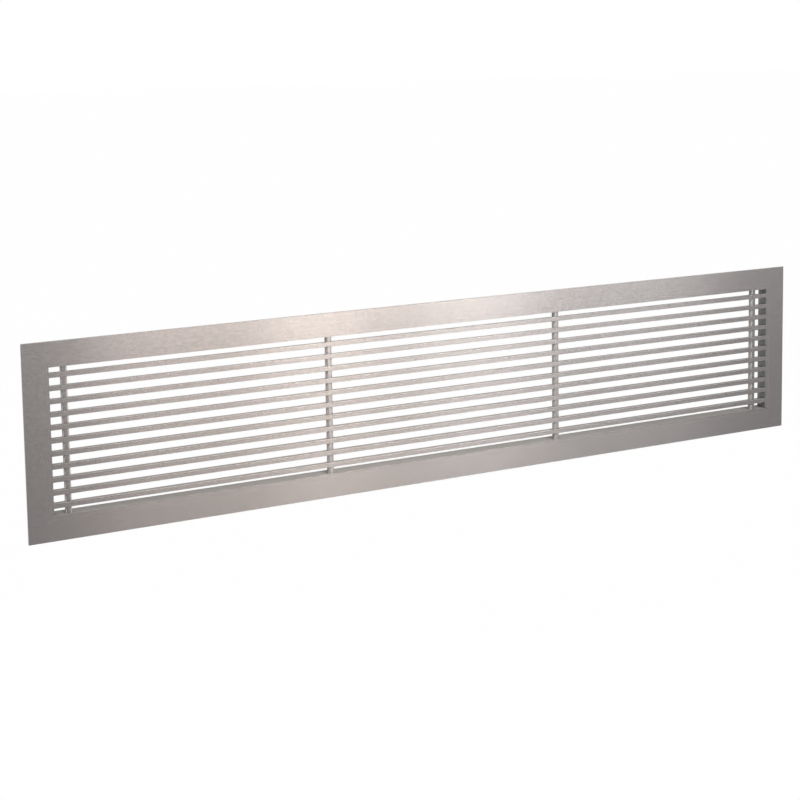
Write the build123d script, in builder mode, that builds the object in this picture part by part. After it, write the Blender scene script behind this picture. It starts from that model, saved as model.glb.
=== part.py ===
"""Linear wall air grille: a one-piece face plate round a bar core.

The core is a border of four flat bars, mitred at the corners, that holds eleven fixed
horizontal blades on four upright support tubes. Leaf springs on the core's long sides
grip the sides of the wall opening, so nothing shows on the face.

Frame: X runs along the grille, Y points into the wall, Z points up. The origin is the
centre of the face plate's back, which is the plane of the finished wall.
"""
from build123d import *
import os

os.makedirs("parts", exist_ok=True)

# Face plate: one flat sheet with a rectangular window
plate_length = 872.0
plate_height = 191.0
plate_thickness = 2.0
plate_border = 20.5
plate_edge_chamfer = 0.2
window_edge_chamfer = 0.1

# Core border: flat bars that fill the window's edge, all but flush with the plate's face
bar_thickness = 4.0
bar_depth = 14.5
bar_recess = 0.05
mitre_edge_chamfer = 0.15

# Blades: fixed at zero degrees, thick at the front and thin at the back
blade_pitch = 12.5
blade_face_height = 4.8
blade_back_height = 1.6
blade_depth = 9.6
blade_edge_radius = 0.25
blade_end_clearance = 0.1
gap_over_top_blade = 5.3

# Support tubes: square with round corners, pressed upright through every blade and both long bars
tube_width = 6.0
tube_corner_radius = 1.5
tube_wall = 1.0
tube_count = 4
first_tube_from_bar = 14.0
last_tube_from_bar = 16.9
tube_setback = 1.6
tube_end_inset = 0.3

# Leaf springs: bent strips pinned to the outside of the long bars
spring_strip = 0.6
spring_width = 18.0
spring_foot_start = 3.0
spring_foot_length = 8.0
spring_bend_radius = 1.3
spring_bend_angle = 136.0
spring_leaf_length = 6.6
spring_crest_radius = 1.6
spring_crest_angle = 82.0
spring_lip_length = 1.6
spring_from_end = 151.5

# Drive pins that hold the springs, in blind holes
pin_shank_diameter = 3.2
pin_shank_depth = 3.0
pin_head_diameter = 6.0
pin_head_height = 1.2

# Planes and outlines that follow from the dimensions above
face_y = -plate_thickness
window_length = plate_length - 2 * plate_border
window_height = plate_height - 2 * plate_border
bar_front = face_y + bar_recess
bar_back = bar_front + bar_depth
opening_length = window_length - 2 * bar_thickness
opening_height = window_height - 2 * bar_thickness
top_blade_z = opening_height / 2 - gap_over_top_blade - blade_face_height / 2
blade_travel = opening_height - 2 * gap_over_top_blade - blade_face_height
blade_count = 1 + int(blade_travel // blade_pitch)
blade_length = opening_length - 2 * blade_end_clearance
tube_y = bar_front + tube_setback + tube_width / 2
tube_row = opening_length - first_tube_from_bar - last_tube_from_bar
tube_xs = [
    -opening_length / 2 + first_tube_from_bar + i * tube_row / (tube_count - 1)
    for i in range(tube_count)
]
tube_places = [(x, tube_y) for x in tube_xs]
tube_length = window_height - 2 * tube_end_inset
spring_x = window_length / 2 - spring_from_end
pin_y = spring_foot_start + spring_foot_length / 2
pin_dome_radius = (pin_head_height**2 + (pin_head_diameter / 2) ** 2) / (2 * pin_head_height)
pin_places = [(-spring_x, pin_y), (spring_x, pin_y)]
spring_spots = {
    "top_left": (-spring_x, 1),
    "top_right": (spring_x, 1),
    "bottom_left": (-spring_x, -1),
    "bottom_right": (spring_x, -1),
}


def save(piece, name):
    """Label a finished piece and write it to its own STEP file."""
    piece.label = name
    export_step(piece, f"parts/{name}.step")


def make_face_plate():
    """The sheet seen from the room, with its window."""
    with BuildPart() as plate:
        with BuildSketch(Plane.XZ):
            Rectangle(plate_length, plate_height)
            Rectangle(window_length, window_height, mode=Mode.SUBTRACT)
        extrude(amount=plate_thickness)
        front = plate.faces().sort_by(Axis.Y)[0]
        chamfer(front.outer_wire().edges(), plate_edge_chamfer)
        front = plate.faces().sort_by(Axis.Y)[0]
        chamfer(front.inner_wires()[0].edges(), window_edge_chamfer)
    save(plate.part, "face_plate")


def make_long_bar(name, side):
    """A top (side 1) or bottom (side -1) core bar, mitred at both ends."""
    outer, inner = side * window_height / 2, side * opening_height / 2
    with BuildPart() as bar:
        with BuildSketch(Plane.XZ.offset(-bar_front)):
            with BuildLine():
                Polyline(
                    (-window_length / 2, outer),
                    (window_length / 2, outer),
                    (opening_length / 2, inner),
                    (-opening_length / 2, inner),
                    close=True,
                )
            make_face()
        extrude(amount=-bar_depth)
        front = bar.faces().sort_by(Axis.Y)[0]
        chamfer(front.edges().filter_by(Axis.X, reverse=True), mitre_edge_chamfer)
        with BuildSketch(Plane.XY.offset(max(outer, inner))):
            with Locations(*tube_places):
                RectangleRounded(tube_width, tube_width, tube_corner_radius)
        extrude(amount=-bar_thickness, mode=Mode.SUBTRACT)
        with BuildSketch(Plane.XY.offset(outer)):
            with Locations(*pin_places):
                Circle(pin_shank_diameter / 2)
        extrude(amount=-side * pin_shank_depth, mode=Mode.SUBTRACT)
    save(bar.part, name)


def make_end_bar(name, side):
    """A right (side 1) or left (side -1) core bar, mitred at both ends."""
    outer, inner = side * window_length / 2, side * opening_length / 2
    with BuildPart() as bar:
        with BuildSketch(Plane.XZ.offset(-bar_front)):
            with BuildLine():
                Polyline(
                    (outer, window_height / 2),
                    (outer, -window_height / 2),
                    (inner, -opening_height / 2),
                    (inner, opening_height / 2),
                    close=True,
                )
            make_face()
        extrude(amount=-bar_depth)
        front = bar.faces().sort_by(Axis.Y)[0]
        chamfer(front.edges().filter_by(Axis.Z, reverse=True), mitre_edge_chamfer)
    save(bar.part, name)


def make_blade(number):
    """One fixed blade, counted from the top, with its four tube holes."""
    z = top_blade_z - (number - 1) * blade_pitch
    front, back = bar_front, bar_front + blade_depth
    with BuildPart() as blade:
        with BuildSketch(Plane.YZ.offset(-blade_length / 2)) as section:
            with BuildLine():
                Polyline(
                    (front, z - blade_face_height / 2),
                    (back, z - blade_back_height / 2),
                    (back, z + blade_back_height / 2),
                    (front, z + blade_face_height / 2),
                    close=True,
                )
            make_face()
            fillet(section.vertices(), blade_edge_radius)
        extrude(amount=blade_length)
        with BuildSketch(Plane.XY.offset(z + blade_face_height)):
            with Locations(*tube_places):
                RectangleRounded(tube_width, tube_width, tube_corner_radius)
        extrude(amount=-2 * blade_face_height, mode=Mode.SUBTRACT)
    save(blade.part, f"blade_{number:02d}")


def make_support_tube(number, x):
    """One upright tube that carries all the blades."""
    with BuildPart() as tube:
        with BuildSketch(Plane.XY.offset(-tube_length / 2)):
            with Locations((x, tube_y)):
                RectangleRounded(tube_width, tube_width, tube_corner_radius)
                bore_width = tube_width - 2 * tube_wall
                bore_radius = tube_corner_radius - tube_wall
                RectangleRounded(bore_width, bore_width, bore_radius, mode=Mode.SUBTRACT)
        extrude(amount=tube_length)
    save(tube.part, f"support_tube_{number}")


def make_leaf_spring(name, x, side):
    """A bent strip: a flat foot on the bar, then a leaf that rises to a crest."""
    base = window_height / 2 + spring_strip / 2
    edge_on = Plane(
        origin=(x - side * spring_width / 2, 0, 0), x_dir=(0, 1, 0), z_dir=(side, 0, 0)
    )
    with BuildPart() as spring:
        with BuildSketch(edge_on):
            with BuildLine():
                foot = Line(
                    (spring_foot_start, base), (spring_foot_start + spring_foot_length, base)
                )
                bend = JernArc(foot @ 1, foot % 1, spring_bend_radius, spring_bend_angle)
                leaf = Line(bend @ 1, bend @ 1 + (bend % 1) * spring_leaf_length)
                crest = JernArc(leaf @ 1, leaf % 1, spring_crest_radius, spring_crest_angle)
                Line(crest @ 1, crest @ 1 + (crest % 1) * spring_lip_length)
                offset(amount=spring_strip / 2, side=Side.BOTH)
            make_face()
        extrude(amount=spring_width)
        with BuildSketch(Plane.XY.offset(side * (base + spring_strip / 2))):
            with Locations((x, pin_y)):
                Circle(pin_shank_diameter / 2)
        extrude(amount=-side * spring_strip, mode=Mode.SUBTRACT)
    save(spring.part, f"leaf_spring_{name}")


def make_drive_pins():
    """The four domed pins, one through each spring and into its bar."""
    shank, head = pin_shank_diameter / 2, pin_head_diameter / 2
    with BuildPart() as pins:
        for x, side in spring_spots.values():
            centre = Vector(x, pin_y, side * (window_height / 2 + spring_strip))
            through_axis = Plane(origin=centre, x_dir=(1, 0, 0), z_dir=(0, -side, 0))
            with BuildSketch(through_axis):
                with BuildLine():
                    dome = RadiusArc((0, pin_head_height), (head, 0), pin_dome_radius)
                    Polyline(
                        dome @ 1,
                        (shank, 0),
                        (shank, -spring_strip - pin_shank_depth),
                        (0, -spring_strip - pin_shank_depth),
                        dome @ 0,
                    )
                make_face()
            revolve(axis=Axis(centre, (0, 0, 1)))
    save(pins.part, "drive_pins")


make_face_plate()
make_long_bar("core_top_bar", 1)
make_long_bar("core_bottom_bar", -1)
make_end_bar("core_left_bar", -1)
make_end_bar("core_right_bar", 1)
for blade_number in range(1, blade_count + 1):
    make_blade(blade_number)
for tube_number, tube_x in enumerate(tube_xs, start=1):
    make_support_tube(tube_number, tube_x)
for spot, (spot_x, spot_side) in spring_spots.items():
    make_leaf_spring(spot, spot_x, spot_side)
make_drive_pins()
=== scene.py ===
"""Looks of the wall air grille: brushed aluminium, soft studio light and the photograph's view.

Every length is in metres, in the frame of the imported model: X along the grille, Y into the
wall and Z up, with the origin at the centre of the face plate's back.
"""
import math

import bpy
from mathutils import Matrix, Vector


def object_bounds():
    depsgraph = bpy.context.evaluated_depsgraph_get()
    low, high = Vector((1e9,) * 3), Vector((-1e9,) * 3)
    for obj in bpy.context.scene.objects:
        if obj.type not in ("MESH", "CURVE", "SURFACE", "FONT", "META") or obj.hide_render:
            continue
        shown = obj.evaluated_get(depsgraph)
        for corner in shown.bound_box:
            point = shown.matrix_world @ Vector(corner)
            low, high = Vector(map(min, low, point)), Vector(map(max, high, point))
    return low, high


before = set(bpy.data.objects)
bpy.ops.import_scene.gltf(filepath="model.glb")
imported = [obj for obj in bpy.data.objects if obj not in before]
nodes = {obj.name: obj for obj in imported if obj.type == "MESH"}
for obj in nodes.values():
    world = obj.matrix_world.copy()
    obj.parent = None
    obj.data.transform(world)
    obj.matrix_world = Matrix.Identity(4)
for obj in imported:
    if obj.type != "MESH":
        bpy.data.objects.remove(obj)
cad_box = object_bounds()

# The photograph's view: place in metres, turns in degrees, lengths on the picture in its pixels
CAMERA_PLACE = (-0.5998, -1.2631, 0.3756)
CAMERA_TURNS = (84.619, 0.854, -23.527)
CAMERA_CLIP_START = 0.05
CAMERA_CLIP_END = 100.0
SENSOR_WIDTH = 36.0
PICTURE_SIZE = 800
FOCAL_PIXELS = 1352.4
OPTICAL_CENTRE_Y_PIXELS = 160.15

# Colours are linear red, green and blue
WHITE = (1.0, 1.0, 1.0)
METAL_COLOUR = (0.497, 0.466, 0.463)
# The side colours are partly a duller mill finish and partly painted shade, darker where less light
# falls on sides and inner faces
SIDE_MILL_AND_PAINTED_SHADE_COLOUR = (0.37, 0.355, 0.345)
END_SIDE_MILL_AND_PAINTED_SHADE_COLOUR = (0.29, 0.292, 0.30)
# Painted light: the tubes' sides are lighter than the metal to stand in for the light that falls on
# them
TUBE_SIDE_MILL_AND_PAINTED_LIGHT_COLOUR = (0.68, 0.65, 0.63)
SPRING_COLOUR = (0.40, 0.40, 0.41)
FLOOR_COLOUR = (0.80, 0.80, 0.80)
CARD_COLOUR = (0.06, 0.06, 0.06)

# Noise of the brushed finish: cells in a metre along X, Y and Z, and the span of its values
FINE_GRAIN_CELLS = (26.0, 2600.0, 2600.0)
COARSE_GRAIN_CELLS = (9.0, 420.0, 420.0)
FLECK_CELLS = (320.0, 700.0, 700.0)
CLOUD_CELLS = 7.0
NOISE_ROUGHNESS = 0.55
NOISE_LOW = 0.3
NOISE_HIGH = 0.7
FINE_GRAIN_SHARE = 0.6
COARSE_GRAIN_SHARE = 0.4

# How far each pattern takes the colour down and up, as factors
GRAIN_SHADE = (0.975, 1.025)
FLECK_SHADE = (0.92, 1.08)
CLOUD_SHADE = (0.985, 1.015)

# Painted shade in corners: how far a neighbour darkens the metal, the open share it counts from, and
# the factors
PAINTED_SHADE_REACH = 0.007
PAINTED_SHADE_SAMPLES = 8
PAINTED_SHADE_OPEN = (0.1, 0.9)
PAINTED_SHADE_FACTORS = (0.35, 1.0)

# The normal's share towards the room up to which a surface is a side, and from which it is a face
FACE_TURN = (0.8, 0.95)
FACE_ROUGHNESS = 0.25
SIDE_ROUGHNESS = 0.5
SIDE_METAL = 0.5
TUBE_SIDE_METAL = 0.2
BRUSHING_ROTATION = 0.25
BUMP_STRENGTH = 0.2
BUMP_DEPTH = 0.00004

FLOOR_DROP = 0.35
FLOOR_SIZE = 40.0
FLOOR_WHITE_SHARE = 0.985
WORLD_LIGHT = 0.6

# The grey card that only the metal sees
CARD_HALF_LENGTH = 8.0
CARD_FRONT = -3.4
CARD_BACK = -0.3
CARD_LIFT = 0.01

# What the lamps point at
LEFT_AIM = (-0.13, 0.0, 0.0)
RIGHT_AIM = (0.07, 0.0, 0.0)
MIDDLE_AIM = (0.0, 0.0, 0.0)

# Sockets of the Mix node when it mixes colours
MIX_FIRST_COLOUR = 6
MIX_SECOND_COLOUR = 7
MIX_COLOUR_RESULT = 2


class NodeTree:
    """Short helpers for building a node tree."""

    def __init__(self, tree):
        self.tree = tree
        tree.nodes.clear()

    def add(self, kind, **settings):
        node = self.tree.nodes.new(kind)
        for name, value in settings.items():
            setattr(node, name, value)
        return node

    def join(self, source, target):
        self.tree.links.new(source, target)

    def feed(self, value, target):
        """A socket is linked, and a plain value is set on the socket itself."""
        if isinstance(value, bpy.types.NodeSocket):
            self.join(value, target)
        else:
            target.default_value = value

    def maths(self, operation, first, second=0.0):
        node = self.add("ShaderNodeMath", operation=operation)
        self.feed(first, node.inputs[0])
        self.feed(second, node.inputs[1])
        return node.outputs[0]

    def ramp(self, value, low, high, out_low, out_high):
        """value is taken from low..high to out_low..out_high, and held at the ends."""
        node = self.add("ShaderNodeMapRange")
        self.feed(value, node.inputs["Value"])
        for name, number in (
            ("From Min", low), ("From Max", high), ("To Min", out_low), ("To Max", out_high)
        ):
            node.inputs[name].default_value = number
        return node.outputs["Result"]

    def blend(self, amount, first, second, blend_type="MIX"):
        node = self.add("ShaderNodeMix", data_type="RGBA", blend_type=blend_type)
        self.feed(amount, node.inputs["Factor"])
        self.feed(first, node.inputs[MIX_FIRST_COLOUR])
        self.feed(second, node.inputs[MIX_SECOND_COLOUR])
        return node.outputs[MIX_COLOUR_RESULT]

    def noise(self, place, scale, detail):
        node = self.add("ShaderNodeTexNoise")
        self.join(place, node.inputs["Vector"])
        node.inputs["Scale"].default_value = scale
        node.inputs["Detail"].default_value = detail
        node.inputs["Roughness"].default_value = NOISE_ROUGHNESS
        return node.outputs["Fac"]

    def drawn_out_noise(self, place, cells):
        """Noise with its own number of cells in a metre along each axis."""
        node = self.add("ShaderNodeMapping")
        self.join(place, node.inputs["Vector"])
        node.inputs["Scale"].default_value = cells
        return self.noise(node.outputs["Vector"], 1.0, detail=3.0)

    def pattern_shade(self, pattern, factors):
        return self.ramp(pattern, NOISE_LOW, NOISE_HIGH, *factors)

    def seen_directly(self):
        """1 for camera, glossy and transmission rays, and 0 for those that light things."""
        rays = self.add("ShaderNodeLightPath").outputs
        seen = self.maths("MAXIMUM", rays["Is Camera Ray"], rays["Is Glossy Ray"])
        return self.maths("MAXIMUM", seen, rays["Is Transmission Ray"])


def rgba(colour):
    return (*colour, 1.0)


def new_material(name):
    material = bpy.data.materials.new(name)
    material.use_nodes = True
    return material, NodeTree(material.node_tree)


def painted_corner_shade(tree):
    """Painted shade: a factor that darkens the colour where other metal stands close, as shade falls
    in corners and under blades.
    """
    corner = tree.add("ShaderNodeAmbientOcclusion", samples=PAINTED_SHADE_SAMPLES)
    corner.inputs["Distance"].default_value = PAINTED_SHADE_REACH
    return tree.ramp(corner.outputs["AO"], *PAINTED_SHADE_OPEN, *PAINTED_SHADE_FACTORS)


def face_share(tree):
    """1 on surfaces that face the room, and 0 on sides, backs and chamfers."""
    facing = tree.add("ShaderNodeSeparateXYZ")
    tree.join(tree.add("ShaderNodeNewGeometry").outputs["True Normal"], facing.inputs[0])
    return tree.ramp(tree.maths("MULTIPLY", facing.outputs["Y"], -1.0), *FACE_TURN, 0.0, 1.0)


def make_brushed(name, colour, side_colour, side_metal=SIDE_METAL, upright_sides=False):
    """Aluminium brushed along X, with duller sides that can be brushed along Z instead. The sides'
    colour is partly that duller mill finish and partly painted shade, and on the tubes' sides painted
    light; painted shade also darkens the corners.
    """
    material, tree = new_material(name)
    place = tree.add("ShaderNodeTexCoord").outputs["Object"]
    fine_grain = tree.drawn_out_noise(place, FINE_GRAIN_CELLS)
    flecks = tree.drawn_out_noise(place, FLECK_CELLS)
    coarse_grain = tree.drawn_out_noise(place, COARSE_GRAIN_CELLS)
    clouds = tree.noise(place, CLOUD_CELLS, detail=2.0)
    grain = tree.maths(
        "ADD",
        tree.maths("MULTIPLY", fine_grain, FINE_GRAIN_SHARE),
        tree.maths("MULTIPLY", coarse_grain, COARSE_GRAIN_SHARE),
    )
    grain_tone_and_painted_shade = tree.pattern_shade(grain, GRAIN_SHADE)
    grain_tone_and_painted_shade = tree.maths("MULTIPLY", grain_tone_and_painted_shade, tree.pattern_shade(flecks, FLECK_SHADE))
    grain_tone_and_painted_shade = tree.maths("MULTIPLY", grain_tone_and_painted_shade, tree.pattern_shade(clouds, CLOUD_SHADE))
    # Painted shade: the colour is darkened in corners and where parts stand close together
    grain_tone_and_painted_shade = tree.maths("MULTIPLY", grain_tone_and_painted_shade, painted_corner_shade(tree))
    tint = tree.add("ShaderNodeCombineColor")
    for socket in tint.inputs[:3]:
        tree.join(grain_tone_and_painted_shade, socket)
    on_face = face_share(tree)
    # The sides take a colour that is partly mill finish and partly painted shade (painted light on
    # the tubes' sides)
    plain = tree.blend(on_face, rgba(side_colour), rgba(colour))
    shaded = tree.blend(1.0, plain, tint.outputs[0], "MULTIPLY")
    bump = tree.add("ShaderNodeBump")
    bump.inputs["Strength"].default_value = BUMP_STRENGTH
    bump.inputs["Distance"].default_value = BUMP_DEPTH
    tree.join(grain, bump.inputs["Height"])
    along = tree.add("ShaderNodeCombineXYZ")
    if upright_sides:
        tree.join(on_face, along.inputs["X"])
        tree.join(tree.maths("SUBTRACT", 1.0, on_face), along.inputs["Z"])
    else:
        along.inputs["X"].default_value = 1.0
    shader = tree.add("ShaderNodeBsdfPrincipled")
    tree.join(shaded, shader.inputs["Base Color"])
    tree.join(tree.ramp(on_face, 0.0, 1.0, side_metal, 1.0), shader.inputs["Metallic"])
    roughness = tree.ramp(on_face, 0.0, 1.0, SIDE_ROUGHNESS, FACE_ROUGHNESS)
    tree.join(roughness, shader.inputs["Roughness"])
    shader.inputs["Anisotropic"].default_value = 1.0
    shader.inputs["Anisotropic Rotation"].default_value = BRUSHING_ROTATION
    tree.join(along.outputs[0], shader.inputs["Tangent"])
    tree.join(bump.outputs["Normal"], shader.inputs["Normal"])
    out = tree.add("ShaderNodeOutputMaterial")
    tree.join(shader.outputs["BSDF"], out.inputs["Surface"])
    return material


def paint(node_names, material):
    for name in node_names:
        for slot in nodes[name].material_slots:
            slot.material = material


def nodes_like(start):
    return [name for name in nodes if name.startswith(start)]


def make_camera():
    data = bpy.data.cameras.new("photo_view")
    data.sensor_width = SENSOR_WIDTH
    data.lens = FOCAL_PIXELS * SENSOR_WIDTH / PICTURE_SIZE
    data.shift_y = (OPTICAL_CENTRE_Y_PIXELS - PICTURE_SIZE / 2) / PICTURE_SIZE
    data.clip_start = CAMERA_CLIP_START
    data.clip_end = CAMERA_CLIP_END
    camera = bpy.data.objects.new("photo_view", data)
    camera.location = CAMERA_PLACE
    camera.rotation_euler = [math.radians(turn) for turn in CAMERA_TURNS]
    bpy.context.scene.collection.objects.link(camera)
    bpy.context.scene.camera = camera


def make_panel(name, half_length, front, back, height, material):
    """A flat level sheet, centred on X, that only dresses the studio."""
    mesh = bpy.data.meshes.new(name)
    corners = [
        (-half_length, front, height),
        (half_length, front, height),
        (half_length, back, height),
        (-half_length, back, height),
    ]
    mesh.from_pydata(corners, [], [(0, 1, 2, 3)])
    mesh.materials.append(material)
    panel = bpy.data.objects.new(name, mesh)
    bpy.context.scene.collection.objects.link(panel)
    return panel


def make_floor():
    """A floor that shows as all but white, so that the grille's shadow on it can't be seen."""
    material, tree = new_material("pale_floor")
    shader = tree.add("ShaderNodeBsdfDiffuse")
    shader.inputs["Color"].default_value = rgba(FLOOR_COLOUR)
    white = tree.add("ShaderNodeEmission")
    mix = tree.add("ShaderNodeMixShader")
    white_share = tree.maths("MULTIPLY", tree.seen_directly(), FLOOR_WHITE_SHARE)
    tree.join(white_share, mix.inputs[0])
    tree.join(shader.outputs[0], mix.inputs[1])
    tree.join(white.outputs[0], mix.inputs[2])
    out = tree.add("ShaderNodeOutputMaterial")
    tree.join(mix.outputs[0], out.inputs["Surface"])
    half = FLOOR_SIZE / 2
    make_panel("floor", half, -half, half, cad_box[0][2] - FLOOR_DROP, material)


def make_grey_card():
    """A grey card in front of the grille, on the floor, which only its metal sees."""
    material, tree = new_material("grey_card")
    shader = tree.add("ShaderNodeBsdfDiffuse")
    shader.inputs["Color"].default_value = rgba(CARD_COLOUR)
    out = tree.add("ShaderNodeOutputMaterial")
    tree.join(shader.outputs["BSDF"], out.inputs["Surface"])
    height = cad_box[0][2] - FLOOR_DROP + CARD_LIFT
    card = make_panel("grey_card", CARD_HALF_LENGTH, CARD_FRONT, CARD_BACK, height, material)
    card.visible_camera = False
    card.visible_shadow = False


def white_background(tree, strength):
    node = tree.add("ShaderNodeBackground")
    node.inputs["Color"].default_value = rgba(WHITE)
    node.inputs["Strength"].default_value = strength
    return node.outputs[0]


def make_world():
    """White where it is seen, and a plainer light on the object."""
    world = bpy.data.worlds.new("studio")
    bpy.context.scene.world = world
    world.use_nodes = True
    tree = NodeTree(world.node_tree)
    mix = tree.add("ShaderNodeMixShader")
    tree.join(tree.seen_directly(), mix.inputs[0])
    tree.join(white_background(tree, WORLD_LIGHT), mix.inputs[1])
    tree.join(white_background(tree, 1.0), mix.inputs[2])
    out = tree.add("ShaderNodeOutputWorld")
    tree.join(mix.outputs[0], out.inputs["Surface"])


def make_area_light(name, place, aim, size, watts, colour=WHITE):
    data = bpy.data.lights.new(name, "AREA")
    data.shape = "RECTANGLE"
    data.size, data.size_y = size
    data.energy = watts
    data.color = colour
    light = bpy.data.objects.new(name, data)
    light.location = place
    light.rotation_euler = (Vector(aim) - Vector(place)).to_track_quat("-Z", "Y").to_euler()
    light.visible_camera = False
    bpy.context.scene.collection.objects.link(light)


def make_lamps():
    """Two soft boxes and two narrow lamps for the faces' bright bands, and one for the left sides."""
    make_area_light(
        "left_softbox", place=(0.555, -2.4, 0.95), aim=LEFT_AIM, size=(0.96, 1.2), watts=18.4,
        colour=(1.0, 0.90, 0.80),
    )
    make_area_light(
        "left_lamp", place=(0.71, -2.38, 0.8), aim=LEFT_AIM, size=(0.28, 1.2), watts=4.6,
        colour=(1.0, 0.96, 0.88),
    )
    make_area_light(
        "right_softbox", place=(1.47, -2.3, 0.95), aim=RIGHT_AIM, size=(0.95, 1.2), watts=15.4,
        colour=(0.98, 0.98, 0.95),
    )
    make_area_light(
        "right_lamp", place=(1.175, -2.28, 0.8), aim=RIGHT_AIM, size=(0.30, 1.2), watts=4.9,
        colour=(1.0, 0.94, 0.86),
    )
    make_area_light(
        "side_lamp", place=(-2.2, -1.0, 1.3), aim=MIDDLE_AIM, size=(0.6, 0.6), watts=28.0
    )


brushed = make_brushed("brushed_aluminium", METAL_COLOUR, SIDE_MILL_AND_PAINTED_SHADE_COLOUR)
end_finish = make_brushed("end_bar_aluminium", METAL_COLOUR, END_SIDE_MILL_AND_PAINTED_SHADE_COLOUR, upright_sides=True)
tube_finish = make_brushed(
    "tube_aluminium", METAL_COLOUR, TUBE_SIDE_MILL_AND_PAINTED_LIGHT_COLOUR, side_metal=TUBE_SIDE_METAL, upright_sides=True
)
spring_finish = make_brushed("spring_strip", SPRING_COLOUR, SPRING_COLOUR)
paint(["face_plate", "core_top_bar", "core_bottom_bar"], brushed)
paint(nodes_like("blade_"), brushed)
paint(["core_left_bar", "core_right_bar"], end_finish)
paint(nodes_like("support_tube_"), tube_finish)
paint(nodes_like("leaf_spring_") + ["drive_pins"], spring_finish)

make_camera()
make_floor()
make_world()
make_grey_card()
make_lamps()

bpy.context.scene.view_settings.view_transform = "Standard"
